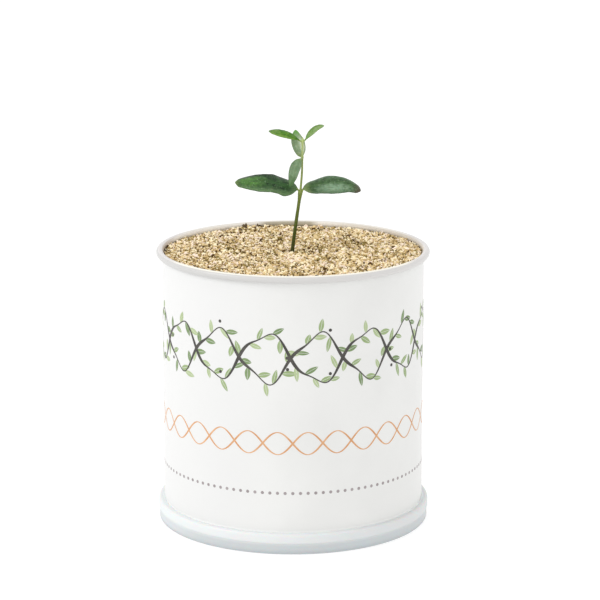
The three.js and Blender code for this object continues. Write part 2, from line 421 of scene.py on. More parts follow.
# %% The lapped seam up the back
def back_seam():
    low = WALL_FOOT + SEAM_CLEAR
    high = bead_height - BEAD_RADIUS
    middle = (0, CAN_RADIUS * MM, (low + high) / 2 * MM)
    bpy.ops.mesh.primitive_cube_add(size=1, location=middle)
    bpy.context.object.scale = (SEAM_WIDTH * MM, 2 * SEAM_RAISE * MM, (high - low) * MM)
    seam = started("back_seam")
    with editing(seam):
        bpy.ops.mesh.bevel(offset=SEAM_RAISE * SEAM_BEVEL * MM, segments=2, affect="EDGES")
    return seam


joined(can, back_seam())

# %% [markdown]
# White enamel is nearly even, with a satin gloss and a faint orange peel. It is painted a little greyer to
# the left as painted shade, and greyer over the rolled bead, darkest at the bead's left as painted shade. It
# is painted paler at the foot, a painted light where the saucer's lip would shade it, and the bead's top edge
# takes a warm cream painted reflection of the grit. Inside, the wall and the bead take warmer tones of
# painted light and shade, lighter at the left, darker to the right and darkest at the far left, and they are
# darker at the back middle. These could be separate materials on chosen faces, but their edges are soft, so
# one material tells the places by height, side and distance from the axis.

# %% Satin white enamel
ENAMEL = (225, 225, 223)
ENAMEL_SHADE = (221, 221, 219)
ENAMEL_LEFT_PAINTED_SHADE = (220, 220, 219)
ENAMEL_FOOT_PAINTED_LIGHT = (237, 237, 235)
BEAD_LEFT_PAINTED_SHADE = (195, 194, 192)
BEAD_RIGHT = (208, 206, 204)
BEAD_TOP_PAINTED_REFLECTION = (238, 234, 222)
BEAD_REFLECTION_BACK = (222, 218, 211)
BEAD_REFLECTION_ENDS = (212, 208, 206)
INSIDE_LIT_LEFT = (230, 224, 215)
INSIDE_SHADED_RIGHT = (206, 198, 186)
INSIDE_BACK_DARKER = (176, 168, 148)
INSIDE_SHADE = (178, 164, 150)
BACK_DARK_MIDDLE = -2
ENAMEL_CLOUDS = 35
ORANGE_PEEL = 700
ORANGE_PEEL_DEPTH = 0.012


def can_enamel():
    material, shader, place = new_material(
        "satin_white_enamel", Roughness=0.36, Specular_IOR_Level=0.4, Coat_Weight=0.1, Coat_Roughness=0.22
    )
    x, y, z = in_millimetres(place)
    out = from_axis(x, y)
    outside = layered(
        ENAMEL,
        (ENAMEL_SHADE, noise(place, ENAMEL_CLOUDS), 0.35, 0.7),
        # Painted shade: the wall is a little greyer towards the left.
        (ENAMEL_LEFT_PAINTED_SHADE, x, -2, -32),
        # Painted light: the wall is paler at the foot, where the saucer's lip would shade it.
        (ENAMEL_FOOT_PAINTED_LIGHT, z, 8.9, 8),
        # The bead is greyer, darkest at its left as painted shade.
        (layered(BEAD_LEFT_PAINTED_SHADE, (BEAD_RIGHT, x, -40, 40)), z, 102, 102.6),
    )
    # Inside, the wall and the inner half of the bead take painted light and shade in place of the outside
    # colour.
    on_inner_bead = times(eased(out, 50.4, 49.9), eased(z, 103.2, 103.6))
    on_inside = sums("MAXIMUM", on_inner_bead, eased(out, 49.35, 49.15))
    # Darker at the back middle.
    at_back = times(eased(unsigned(minus(x, BACK_DARK_MIDDLE)), 13, 8), eased(y, 35, 46))
    # Painted light and shade by side: lighter at the left, darker to the right, darkest at the far left.
    pale = layered(INSIDE_LIT_LEFT, (INSIDE_SHADED_RIGHT, x, 12, 26), (INSIDE_SHADE, x, -44, -49))
    with_painted_inside = mixed(on_inside, outside, mixed(at_back, pale, INSIDE_BACK_DARKER))
    # Painted reflection of the grit along the bead's top: warm cream, greyer at the back and at the sides.
    cream = layered(BEAD_TOP_PAINTED_REFLECTION, (BEAD_REFLECTION_BACK, y, 5, 25), (BEAD_REFLECTION_ENDS, unsigned(x), 41, 46))
    with_painted_reflection = layered(with_painted_inside, (cream, z, 104.6, 104.85))
    dressed(shader, with_painted_reflection, noise(place, ORANGE_PEEL, detail=2), ORANGE_PEEL_DEPTH, strength=0.5)
    return material


enamel = can_enamel()
for piece in (can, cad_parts["can_end"]):
    piece.data.materials.clear()
    piece.data.materials.append(enamel)
handed_over(can, "can_wall", slot="can_enamel")

# %% [markdown]
# ## The print
# The wall carries a plain printed ornament: two crossing twigs with small leaves, a pair of crossing waves
# and a row of dots, all the way round. It could be a pattern in the enamel, but its fine edges stay crisp
# only as shapes. Each motif is drawn flat, with u the way round the wall and v the height. Because bend needs
# a window, each point is then laid on the wall by its own angle. Each ink lies a few hundredths of a
# millimetre over the one before.

# %% Lay flat strips on the wall as closed films of ink
FILM_IN = CAN_RADIUS - 0.03
ROUND_THE_WALL = math.tau * CAN_RADIUS


def on_wall(flat, radius):
    """Points (u, v) in millimetres laid on the wall, in metres. u = 0 is the front."""
    angle = flat[:, 0] / CAN_RADIUS
    return np.stack([radius * np.sin(angle), -radius * np.cos(angle), flat[:, 1]], axis=1) * MM


def film(name, strips, material, proud=0.02, closed=False):
    """Each strip, (u, v) points along its right and left edge, becomes a thin plate."""
    points = []
    faces = []
    count = 0
    for right, left in strips:
        n = len(right)
        outside = [on_wall(edge, CAN_RADIUS + proud) for edge in (right, left)]
        inside = [on_wall(edge, FILM_IN) for edge in (left, right)]
        points.append(np.stack(outside + inside, axis=1).reshape(-1, 3))
        for i in range(n if closed else n - 1):
            here = count + 4 * i
            there = count + 4 * ((i + 1) % n)
            for k in range(4):
                m = (k + 1) % 4
                faces.append([here + k, there + k, there + m, here + m])
        if not closed:
            last = count + 4 * (n - 1)
            faces.append([count, count + 1, count + 2, count + 3])
            faces.append([last + 3, last + 2, last + 1, last])
        count += 4 * n
    return from_arrays(name, np.concatenate(points), faces, material)


# %% Ink
INK_CLOUDS = 260


def ink(name, main, worn):
    """Matt screen ink whose density varies a little."""
    material, shader, place = new_material(name, Roughness=0.55)
    dressed(shader, layered(main, (worn, noise(place, INK_CLOUDS), 0.35, 0.75)))
    return material


# %% The twigs and their leaves
TWIG_HEIGHT = 74.0
TWIG_WAVES = 8
TWIG_SWING = 9.0
TWIG_TREMOR = 1.3
TWIG_THIN = 0.2
TWIG_THICK = 0.62
RIBBON_STEPS = 720
LEAVES_ON_TWIG = 104
LEAF_PLACES = (0.3, 0.7)
LEAF_ANGLES = (30, 62)
LEAF_LENGTHS = (3.78, 5.94)
LEAF_WIDTHS = (1.6, 2.2)
LEAF_ENDS = (0.01, 0.99)
LEAF_STEPS = 12
LEAF_ROUNDNESS = 0.85
LEAF_LEAN = 0.24
LEAF_RIB = 0.07
BERRY_EVERY = 9
BERRY_FIRST = 4
BERRY_RADIUS = 0.6
BERRY_REACH = 2.4
DISC_STEPS = 9
DISC_GAP = 0.1
PRINT_SEED = 11


def twig_height(u, sign):
    """One twig swings up where the other swings down."""
    turn = TWIG_WAVES * u / CAN_RADIUS
    return TWIG_HEIGHT + sign * TWIG_SWING * np.sin(turn) + TWIG_TREMOR * np.sin(3 * turn + 2 * sign)


def twig_angle(u, sign):
    step = 0.1
    return math.atan2(twig_height(u + step, sign) - twig_height(u - step, sign), 2 * step)


def twig_half(u):
    """Half the width: thick where the twigs cross and thin where they are apart."""
    return TWIG_THIN + (TWIG_THICK - TWIG_THIN) * np.cos(TWIG_WAVES * u / CAN_RADIUS) ** 4


def ribbon(height_of, sign, half_of):
    """The right and left edge of a line round the wall."""
    u = np.linspace(0, ROUND_THE_WALL, RIBBON_STEPS, endpoint=False)
    v = height_of(u, sign)
    ahead = np.roll(v, -1) - np.roll(v, 1)
    run = 2 * ROUND_THE_WALL / RIBBON_STEPS
    side = np.stack([-ahead, np.full(RIBBON_STEPS, run)], axis=1)
    side *= (half_of(u) / np.hypot(run, ahead))[:, None]
    middle = np.stack([u, v], axis=1)
    return middle - side, middle + side


def disc(u, v, radius):
    """The right and left edge of a small round spot."""
    angle = np.linspace(math.pi - DISC_GAP, DISC_GAP, DISC_STEPS)
    across = radius * np.cos(angle)
    half = radius * np.sin(angle)
    return np.stack([u + across, v - half], axis=1), np.stack([u + across, v + half], axis=1)


def print_leaf(u, v, angle, length, width):
    """The two halves of a leaf with a narrow gap for its midrib, laid in place."""
    share = np.linspace(*LEAF_ENDS, LEAF_STEPS)
    bulge = width / 2 * (4 * share * (1 - share)) ** LEAF_ROUNDNESS * (1 + LEAF_LEAN * (0.5 - share))
    gap = np.minimum(LEAF_RIB, bulge / 2)
    c, s = math.cos(angle), math.sin(angle)
    halves = []
    for right, left in ((gap, bulge), (-bulge, -gap)):
        edges = [np.stack([share * length, edge], axis=1) for edge in (right, left)]
        halves.append([edge @ np.array([[c, s], [-s, c]]) + [u, v] for edge in edges])
    return halves


# %% Deal the leaves out in three greens
def leaves_and_berries():
    random = np.random.default_rng(PRINT_SEED)
    greens = [[], [], []]
    berries = []
    for sign in (1, -1):
        for i in range(LEAVES_ON_TWIG):
            side = 1 if i % 2 else -1
            u = (i + random.uniform(*LEAF_PLACES)) * ROUND_THE_WALL / LEAVES_ON_TWIG
            v = twig_height(u, sign)
            angle = twig_angle(u, sign) + side * math.radians(random.uniform(*LEAF_ANGLES))
            length = random.uniform(*LEAF_LENGTHS)
            width = random.uniform(*LEAF_WIDTHS)
            greens[int(random.integers(len(greens)))] += print_leaf(u, v, angle, length, width)
            if i % BERRY_EVERY == BERRY_FIRST:
                berries.append(disc(u, v - side * BERRY_REACH, BERRY_RADIUS))
    return greens, berries


greens, berries = leaves_and_berries()
inks = [
    ("print_sage", (142, 163, 112), (156, 175, 128), 0.02),
    ("print_moss", (112, 136, 88), (127, 149, 103), 0.03),
    ("print_lime", (166, 183, 136), (178, 193, 150), 0.04),
]
for (name, main, worn, proud), strips in zip(inks, greens):
    handed_over(film(name, strips, ink(name, main, worn), proud))
charcoal = ink("print_charcoal", (58, 56, 52), (80, 77, 72))
twigs = [ribbon(twig_height, sign, twig_half) for sign in (1, -1)]
handed_over(film("print_twigs", twigs, charcoal, 0.05, closed=True))
handed_over(film("print_berries", berries, charcoal, 0.05))

# %% Two crossing copper waves and a row of grey dots
WAVES_HEIGHT = 42.0
WAVES_SWING = 4.2
WAVES_COUNT = 14
WAVES_THIN = 0.16
WAVES_THICK = 0.34
DOTS_HEIGHT = 23.0
DOTS_COUNT = 110
DOT_RADIUS = 0.6


def waves_half(u):
    """A pen's line: thin at the turns and thicker between them."""
    return WAVES_THIN + (WAVES_THICK - WAVES_THIN) * np.abs(np.cos(WAVES_COUNT * u / CAN_RADIUS))


def wave_height(u, sign):
    return WAVES_HEIGHT + sign * WAVES_SWING * np.sin(WAVES_COUNT * u / CAN_RADIUS)


copper = ink("print_copper", (204, 148, 100), (218, 172, 132))
waves = [ribbon(wave_height, sign, waves_half) for sign in (1, -1)]
handed_over(film("print_waves", waves, copper, closed=True))
grey = ink("print_grey", (146, 138, 138), (166, 158, 158))
dots = [disc(i * ROUND_THE_WALL / DOTS_COUNT, DOTS_HEIGHT, DOT_RADIUS) for i in range(DOTS_COUNT)]
handed_over(film("print_dots", dots, grey))

# %% [markdown]
# ## The grit
# The pot is filled with pale mineral grit, grains of a little under a millimetre. A bump pattern would look
# flat along the rim, so the top layers are real grains. Below them lies one closed bed, painted dark as the
# shade between the grains: a cylinder whose top is inset in rings and lifted to the surface's height. A dozen
# grain shapes are made from icospheres with their points moved at random, and arrays then place some
# thousands of each colour on the surface.

# %% The height of the grit's surface, in millimetres
GRIT_LEVEL = 103.0
GRIT_SLOPE = 0.009
GRIT_EDGE_DROP = 0.3
GRIT_EDGE_SHARPNESS = 8
GRIT_BUMP = 0.22
GRIT_BUMP_LENGTH = 21.0
GRIT_FLAT_RADIUS = 15.0
STEM_FOOT_X = -0.25

# Wide swells and the dip at the stem: where each lies, how far it reaches and how far it rises.
SWELLS = [
    (STEM_FOOT_X, 0, 3.5, -0.25), (-49, 6, 10, 0.35), (-42, 22, 22, 0.6), (-19, 43.5, 8, 0.6),
    (5, 47, 5, -0.7), (30, 36, 15, -0.65), (47, 10, 10, -0.4),
]


def grit_height(x, y):
    """Nearly level, with a drop along the wall, wide swells and low bumps."""
    turn = math.tau / GRIT_BUMP_LENGTH
    bumps = np.sin(x * turn + 1) * np.cos(y * turn) + np.sin((x - y) * turn / 2 + 2)
    bumps = bumps * np.minimum(1, np.hypot(x - STEM_FOOT_X, y) / GRIT_FLAT_RADIUS)
    drop = GRIT_EDGE_DROP * (np.hypot(x, y) / CAN_RADIUS) ** GRIT_EDGE_SHARPNESS
    swells = sum(
        rise * np.exp(-((x - at_x) ** 2 + (y - at_y) ** 2) / reach**2) for at_x, at_y, reach, rise in SWELLS
    )
    return GRIT_LEVEL + GRIT_SLOPE * x - drop + swells + GRIT_BUMP * bumps


print("grit at the axis:", round(float(grit_height(0, 0)), 2), "mm high")

# %% The dark bed under the grains
BED_DROP = 1.2
BED_RINGS = 14
BED_SIDES = 96
BED_SHADE_DARK = (56, 42, 26)
BED_SHADE_PALE = (104, 84, 54)
BED_FLECKS = 1100
BED_LUMPS = 900
BED_LUMP_DEPTH = 0.3
grit_low, grit_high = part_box("grit")


def grit_bed():
    top = GRIT_LEVEL * MM
    middle = (grit_low.z + top) / 2
    bpy.ops.mesh.primitive_cylinder_add(
        vertices=BED_SIDES, radius=grit_high.x, depth=top - grit_low.z, location=(0, 0, middle)
    )
    bed = started("grit_bed")
    with editing(bed, "FACE"):
        choose_top(bed)
        for _ in range(BED_RINGS - 1):
            bpy.ops.mesh.inset(thickness=grit_high.x / BED_RINGS)
        bpy.ops.mesh.poke()
    for point in bed.data.vertices:
        if point.co.z > middle:
            point.co.z = (grit_height(point.co.x / MM, point.co.y / MM) - BED_DROP) * MM
    return finished(bed)


def bed_shadow_material():
    material, shader, place = new_material("grit_shadow", Roughness=0.95)
    # Painted shade: dark colours for the shaded gaps between the grains, with paler flecks.
    shade = layered(BED_SHADE_DARK, (BED_SHADE_PALE, noise(place, BED_FLECKS), 0.4, 0.65))
    dressed(shader, shade, noise(place, BED_LUMPS), BED_LUMP_DEPTH)
    return material


handed_over(grit_bed(), "grit", slot="grit", material=bed_shadow_material())

# %% A dozen grain shapes
GRAIN_SHAPES = 12
GRAIN_JITTER = 0.2
GRAIN_SIDES = [(0.95, 1.5), (0.75, 1.1), (0.5, 0.85)]
GRAIN_SEED = 5


def grain_shapes():
    """Angular grains of unit size: the corners of each and the triangles of all."""
    random = np.random.default_rng(GRAIN_SEED)
    corners = []
    for k in range(GRAIN_SHAPES):
        bpy.ops.mesh.primitive_ico_sphere_add(subdivisions=1, radius=0.5)
        grain = started("grain")
        with editing(grain):
            bpy.ops.transform.vertex_random(offset=GRAIN_JITTER, uniform=1, normal=0, seed=GRAIN_SEED + k)
            size = [random.uniform(*side) for side in GRAIN_SIDES]
            bpy.ops.transform.resize(value=size, center_override=(0, 0, 0))
        corners.append([list(v.co) for v in grain.data.vertices])
        triangles = [list(p.vertices) for p in grain.data.polygons]
        bpy.data.objects.remove(grain)
    return np.array(corners), np.array(triangles)


grain_corners, grain_triangles = grain_shapes()
print("grain shapes:", grain_corners.shape, "triangles each:", len(grain_triangles))

# %% [markdown]
# The grains lie in layers. In each layer they stand on a shaken honeycomb, so that they cover the surface
# evenly without a visible order. Places drawn wholly at random would leave holes beside heaps. A full layer
# lies lowest, a nearly full one fills its gaps, and half of one on top breaks the surface. Grains near the
# wall stay inside it.

# %% Where the grains lie: each layer's spacing, its lift and its share of places that are taken
LAYERS = [(0.84, -0.55, 1.0), (0.81, 0.05, 0.87), (0.93, 0.52, 0.5)]
GRAIN_SIZE = 0.8
GRAIN_SPREAD = 0.35
LARGEST_GRAIN = 1.7
GRAIN_REACH = 0.85
SHAKE = 0.42
LIFT_SHAKE = 0.25
WALL_MARGIN = 0.6


def honeycomb(spacing, reach, random):
    """Shaken honeycomb points inside a circle."""
    row_step = spacing * math.sqrt(3) / 2
    row, column = np.mgrid[0 : int(2 * reach / row_step) + 2, 0 : int(2 * reach / spacing) + 2]
    x = (column + 0.5 * (row % 2)) * spacing - reach
    y = row * row_step - reach
    points = np.stack([x.ravel(), y.ravel()], axis=1)
    points += random.uniform(-SHAKE, SHAKE, points.shape) * spacing
    return points[np.hypot(*points.T) < reach]


def grain_places(random):
    """The centre and the size of each grain, in millimetres."""
    inner = CAN_RADIUS - SHEET
    centres = []
    for spacing, lift, share in LAYERS:
        flat = honeycomb(spacing, inner - WALL_MARGIN, random)
        flat = flat[random.random(len(flat)) < share]
        height = grit_height(*flat.T) + lift + random.uniform(-LIFT_SHAKE, LIFT_SHAKE, len(flat))
        centres.append(np.column_stack([flat, height]))
    centres = np.concatenate(centres)
    sizes = GRAIN_SIZE * np.exp(random.normal(0, GRAIN_SPREAD, len(centres)))
    to_wall = inner - np.hypot(centres[:, 0], centres[:, 1])
    return centres, np.minimum(sizes, np.minimum(LARGEST_GRAIN, to_wall / GRAIN_REACH))


# %% Turn, size and join the grains
GRAIN_TILT = 0.35


def turned(points, random):
    """Turns each grain at random: freely about the upright, less about the others."""
    q = random.normal(size=(len(points), 1, 4)) * (1, GRAIN_TILT, GRAIN_TILT, 1)
    q /= np.linalg.norm(q, axis=2, keepdims=True)
    axis = q[..., 1:]
    across = np.cross(axis, points)
    return points + 2 * q[..., :1] * across + 2 * np.cross(axis, across)


def joined_grains(name, centres, sizes, material, random):
    """One mesh of many grains, each a random shape, turned and sized."""
    count = len(centres)
    shapes = grain_corners[random.integers(GRAIN_SHAPES, size=count)]
    points = turned(shapes, random) * sizes[:, None, None] + centres[:, None, :]
    faces = grain_triangles[None] + (np.arange(count) * shapes.shape[1])[:, None, None]
    return from_arrays(name, points.reshape(-1, 3) * MM, faces.reshape(-1, 3), material)


# %% [markdown]
# The deeper a grain lies, the darker its colour, partly for dust and partly as painted shade in the gaps, so
# the uppermost grains are the palest. Pale grains also gather in some patches, one of them in front of the
# stem's foot. So each grain gets a darkness of its own from chance, its depth and its place, and the colours
# are dealt out in that order.

# %% Deal the colours out, from pale to dark
GRAIN_COLOURS = [
    ("grains_rose", (250, 232, 214), 0.07),
    ("grains_cream", (255, 241, 206), 0.22),
    ("grains_straw", (226, 202, 152), 0.22),
    ("grains_tan", (190, 163, 112), 0.2),
    ("grains_olive", (148, 129, 72), 0.14),
    ("grains_brown", (90, 64, 30), 0.17),
]
PATCH_LENGTH = 9.0
PATCH_WEIGHT = 0.15
DEPTH_SHADE_WEIGHT = 0.85
PATCH_WAVES = [(2.1, 1.3, 0), (-1.1, 2.7, 2), (3.9, 0.5, 4)]
PALE_PATCH_CENTRE = (-1.2, -11.0)
PALE_PATCH_SIZE = (3.2, 6.5)
PALE_PATCH_WEIGHT = 1.3
GRAIN_PLACE_SEED = 23


def darkness(centres, random):
    """A number for each grain that is higher where dark grains gather."""
    x, y, z = centres.T
    wave = sum(np.sin((p * x + q * y) / PATCH_LENGTH + phase) for p, q, phase in PATCH_WAVES)
    near = (((centres[:, :2] - PALE_PATCH_CENTRE) / PALE_PATCH_SIZE) ** 2).sum(axis=1)
    # Deeper grains rank darker: dust and painted shade in the gaps.
    shade = random.normal(size=len(centres)) + PATCH_WEIGHT * wave + DEPTH_SHADE_WEIGHT * (grit_height(x, y) - z)
    return shade - PALE_PATCH_WEIGHT * np.exp(-near)


def lay_grains():
    random = np.random.default_rng(GRAIN_PLACE_SEED)
    centres, sizes = grain_places(random)
    order = np.argsort(darkness(centres, random))
    shares = np.cumsum([share for _, _, share in GRAIN_COLOURS])
    ends = np.round(shares / shares[-1] * len(order)).astype(int)
    start = 0
    for (name, base, _), end in zip(GRAIN_COLOURS, ends):
        mine = order[start:end]
        material, _, _ = new_material(name, Base_Color=linear(base), Roughness=0.85, Specular_IOR_Level=0.15)
        piece = joined_grains(name, centres[mine], sizes[mine], material, random)
        handed_over(piece, slot="grit")
        start = end


lay_grains()

# %% A few chips of dark bark at the back
BARK_CHIPS = [
    (-20.6, 36.2, 1.8), (-19.4, 42.0, 1.9), (-18.6, 42.8, 1.5), (-14.0, 43.9, 1.7), (-12.9, 44.5, 1.3),
]
CHIP_LIFT = 0.9
BARK_BROWN = (96, 78, 48)


def bark_chips():
    random = np.random.default_rng(GRAIN_PLACE_SEED)
    x, y, size = np.array(BARK_CHIPS).T
    centres = np.column_stack([x, y, grit_height(x, y) + CHIP_LIFT])
    material, _, _ = new_material("bark_brown", Base_Color=linear(BARK_BROWN), Roughness=0.8)
    return joined_grains("bark_chips", centres, size, material, random)


handed_over(bark_chips(), slot="grit")

# %% [markdown]
# ## Lines for the stem and the leaves
# The stem and each midrib run along a smooth curve through a few chosen points, the same curve as the solids
# use: a centripetal Catmull-Rom curve, which never loops or overshoots between close points.

# %% A smooth curve through points
CURVE_SAMPLES = 400
CLOSE = 0.001


def curve_points(points, count=CURVE_SAMPLES):
    """Points along the centripetal Catmull-Rom curve through these."""
    points = np.array(points, float)
    padded = np.vstack([2 * points[0] - points[1], points, 2 * points[-1] - points[-2]])
    found = []
    for s in np.linspace(0, len(points) - 1, count):
        i = min(int(s), len(points) - 2)
        t = s - i
        p0, p1, p2, p3 = padded[i : i + 4]
        d0, d1, d2 = (math.sqrt(np.linalg.norm(b - a)) for a, b in ((p0, p1), (p1, p2), (p2, p3)))
        m1 = ((p1 - p0) / d0 - (p2 - p0) / (d0 + d1) + (p2 - p1) / d1) * d1
        m2 = ((p2 - p1) / d1 - (p3 - p1) / (d1 + d2) + (p3 - p2) / d2) * d1
        cubic = (2 * p1 - 2 * p2 + m1 + m2) * t**3 + (3 * p2 - 3 * p1 - 2 * m1 - m2) * t**2
        found.append(cubic + m1 * t + p1)
    return np.array(found)


def at_length(line, share):
    """The point and the direction at a share of the line's length."""
    length = np.append(0, np.cumsum(np.linalg.norm(np.diff(line, axis=0), axis=1)))
    length /= length[-1]
    shares = [share, min(1, share + CLOSE), max(0, share - CLOSE)]
    point, ahead, behind = np.stack([np.interp(shares, length, part) for part in line.T], axis=1)
    return point, (ahead - behind) / np.linalg.norm(ahead - behind)


# %% [markdown]
# ## The stem
# The stem is a ring drawn upwards: a circle at the foot is extruded, moved and resized at each station, as a
# stem is modelled by hand. A curve with a round section would be quicker, but its swellings at the nodes,
# where the leaves sit, would be less sure. The foot starts a little below the surface of the grit, between
# the grains, so that the stem stands in them.

# %% The stem's stations: the place to the right, the radius and the height, in millimetres
STEM = [
    (-0.25, 0.8, 103.6), (-0.1, 0.72, 104.8), (1.15, 0.67, 114.5), (2.3, 0.64, 122.5),
    (2.58, 0.78, 124.6), (2.72, 0.82, 125.6), (2.8, 0.62, 126.3), (2.87, 0.47, 127.2),
    (3.38, 0.42, 133.7), (3.5, 0.41, 138.6), (3.5, 0.54, 139.3), (3.52, 0.42, 140.2),
    (3.6, 0.41, 144.8), (3.62, 0.52, 145.5), (3.65, 0.34, 146.3), (3.68, 0.1, 147.0),
]
STEM_SIDES = 16
STEM_RINGS = 90
FOOT_SUNK = 1.2
FOOT_SHIFT = 0.1
FOOT_FLARE = 1.25
UNEVENNESS = 0.02
STEM_SEED = 3


def stem_stations():
    """Centre and radius of each ring, slightly uneven as a grown stem is."""
    random = np.random.default_rng(STEM_SEED)
    rings = [(x, 0.0, z, radius) for x, radius, z in curve_points(STEM, STEM_RINGS)]
    x, y, z, radius = rings[0]
    rings.insert(0, (x - FOOT_SHIFT, y, z - FOOT_SUNK, radius * FOOT_FLARE))
    wobble = 1 + random.uniform(-UNEVENNESS, UNEVENNESS, len(rings))
    return [(x, y, z, radius * w) for (x, y, z, radius), w in zip(rings, wobble)]


def drawn_up(name, stations, sides):
    """Extrudes a filled circle through the stations, resizing it at each."""
    *place, radius = np.array(stations[0]) * MM
    bpy.ops.mesh.primitive_circle_add(vertices=sides, radius=radius, location=place, fill_type="NGON")
    piece = started(name)
    with editing(piece, "FACE"):
        for station in np.array(stations[1:]) * MM:
            step = [b - a for a, b in zip(place, station)]
            bpy.ops.mesh.extrude_region_move(TRANSFORM_OT_translate={"value": step})
            size = (station[3] / radius, station[3] / radius, 1)
            *place, radius = station
            bpy.ops.transform.resize(value=size, center_override=place)
        bpy.ops.mesh.select_all(action="SELECT")
        bpy.ops.mesh.normals_make_consistent(inside=False)
    return piece


stem = finished(drawn_up("stem_wood", stem_stations(), STEM_SIDES))

# %% [markdown]
# The stem is olive brown and woody at the foot and turns to fresh yellow green towards the bud. The colour
# follows the height, broken by streaks along the stem and small pale pores.

# %% Bark that turns from wood to green
STEM_COLOURS = [
    (103, (58, 60, 12)), (110, (64, 76, 10)), (118, (96, 112, 42)), (125, (120, 138, 62)),
    (127.5, (152, 168, 96)), (139, (156, 172, 106)), (142, (182, 198, 134)), (147, (184, 204, 126)),
]
STREAK_BROWN = (52, 50, 14)
PORE_PALE = (160, 152, 96)
STEM_STREAKS = 1500
STEM_PORES = 2100
STREAK_DEPTH = 0.06


def stem_skin():
    material, shader, place = new_material(
        "stem_skin", Roughness=0.5, Specular_IOR_Level=0.25, Subsurface_Weight=0.08, Subsurface_Scale=0.4 * MM
    )
    height = in_millimetres(place)[2]
    shade = STEM_COLOURS[0][1]
    for (low, _), (high, tone) in zip(STEM_COLOURS, STEM_COLOURS[1:]):
        shade = mixed(eased(height, low, high, "LINEAR"), shade, tone)
    streaks = noise(place, STEM_STREAKS, stretch=(1, 1, 0.12))
    dark = mixed(times(streaks, 0.35), shade, STREAK_BROWN)
    pores = noise(place, STEM_PORES, stretch=(1, 1, 0.5))
    dressed(shader, layered(dark, (PORE_PALE, pores, 0.66, 0.74, 0.4)), streaks, STREAK_DEPTH)
    return material


handed_over(stem, "stem", slot="stem", material=stem_skin())

# %% [markdown]
# ## The leaves
# An olive leaf is a thick, narrow blade on a short stalk. Its upper side is dark and slightly glossy, its
# underside is pale with fine scales, and its midrib stands out below. A blade starts as a grid primitive.
# Its rows are laid across the midrib by the solids' own rule, because the bend operator needs a window. The
# grid then gets its thickness from Solidify, thinner towards the margin, and is smoothed by subdivision.
# The stalk and the midrib are one tapered curve that starts inside the stem and runs on below the blade.

